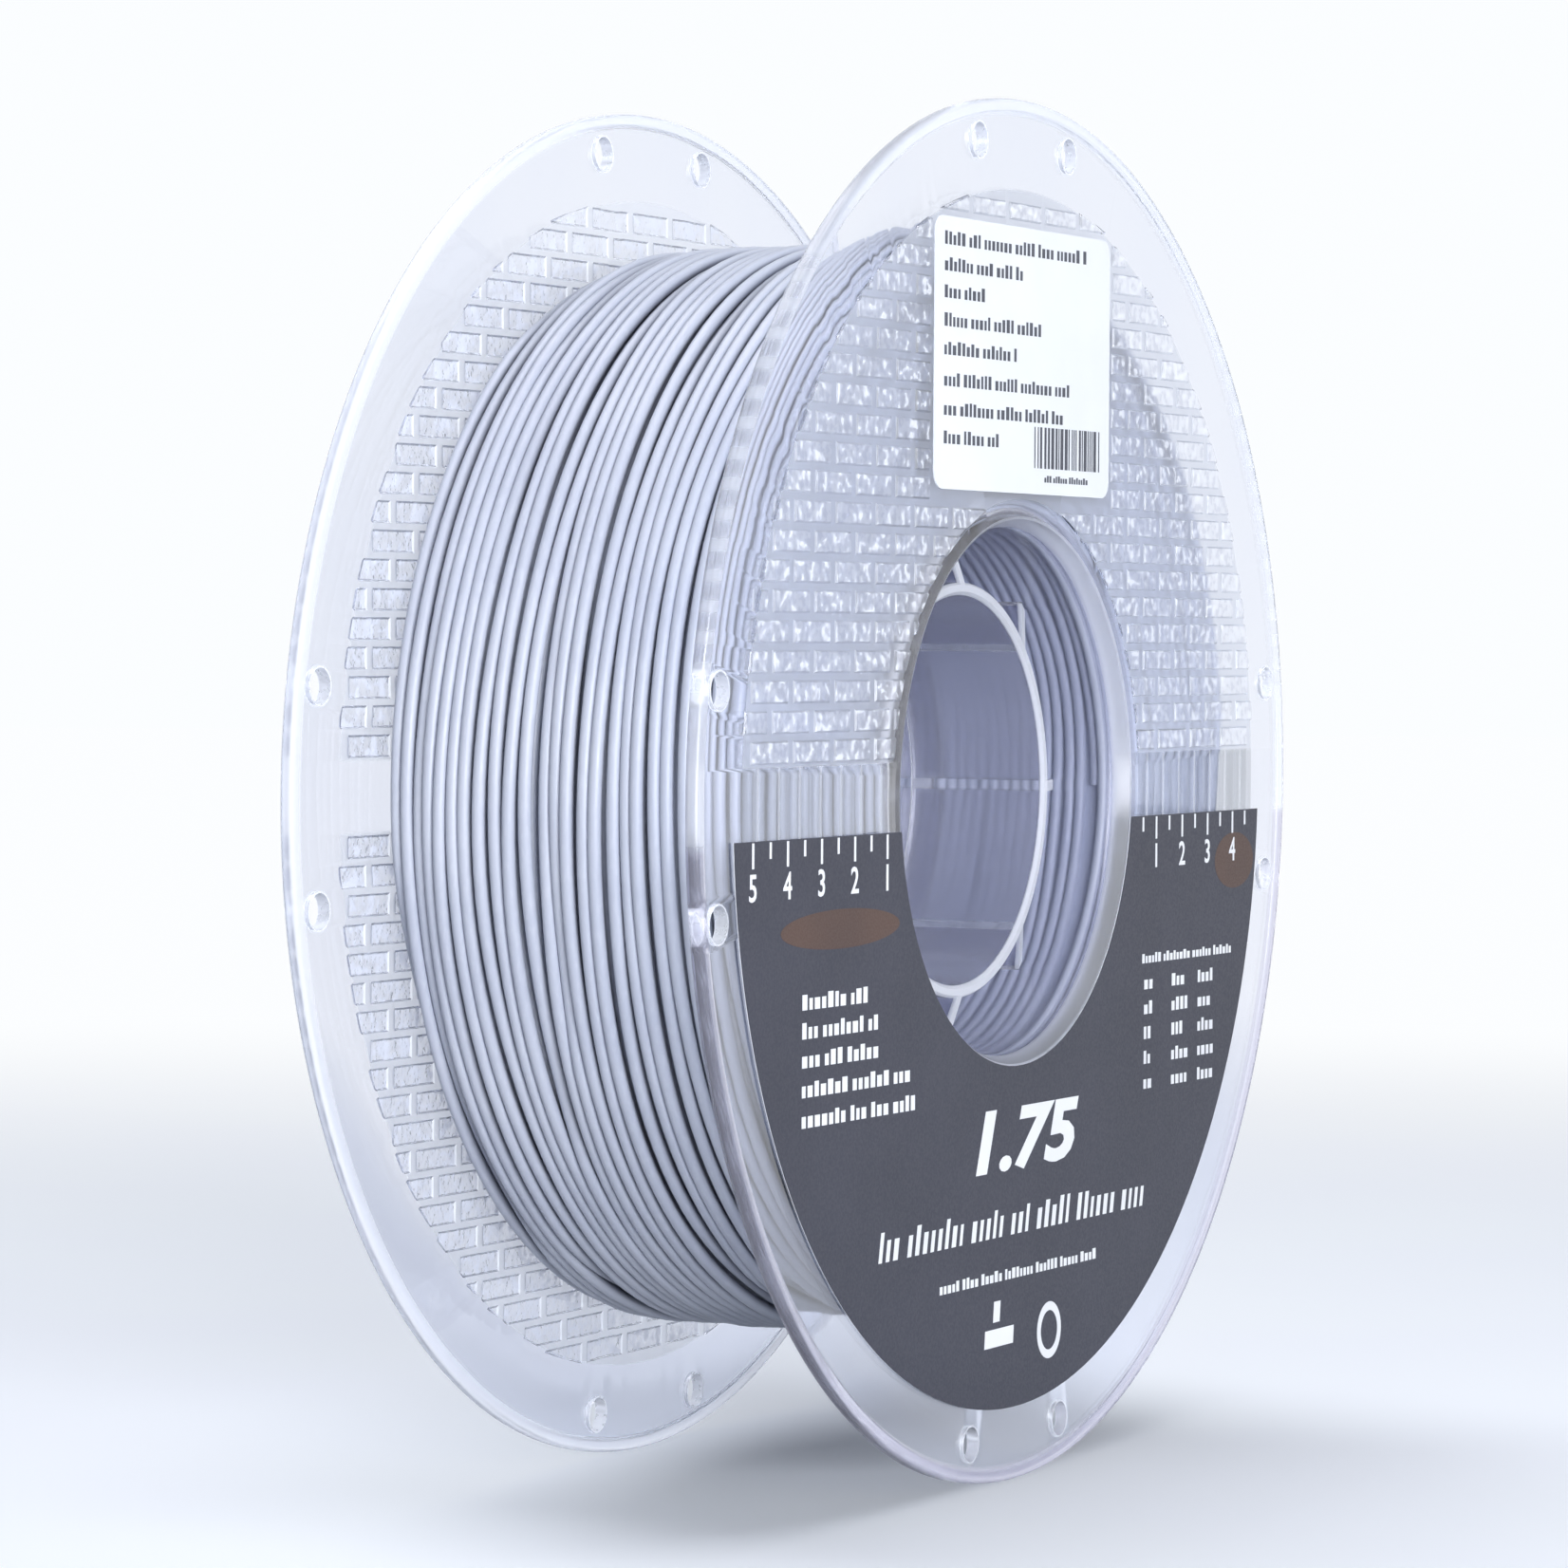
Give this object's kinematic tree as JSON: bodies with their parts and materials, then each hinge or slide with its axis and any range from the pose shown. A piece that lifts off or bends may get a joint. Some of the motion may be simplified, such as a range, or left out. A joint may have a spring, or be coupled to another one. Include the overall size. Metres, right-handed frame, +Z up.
{
  "type": "filament spool",
  "caption": "Clear moulded spool with a ribbed snap-together hub, full of wound filament, with a dark face label and a white note label.",
  "frame": {"origin": "centre of the spindle bore, at the middle of the spool's width", "axes": "+Y along the spindle bore from the labelled flange to the plain one, +Z up as the spool stands on its rims with the dark label's straight edge level, +X to the right as seen from the front"},
  "size_m": [0.2, 0.064, 0.2],
  "materials": {
    "clear_plastic": "clear, polished, with a faint blue cast",
    "filament": "satin silver-grey extruded strand",
    "dark_label": "slate printed film",
    "white_label": "white satin paper"
  },
  "bodies": {
    "root": {"front_half": "clear_plastic", "rear_half": "clear_plastic", "filament_core": "filament", "filament_outer_layer": "filament", "face_label": "dark_label", "note_label": "white_label"}
  },
  "joints": []
}
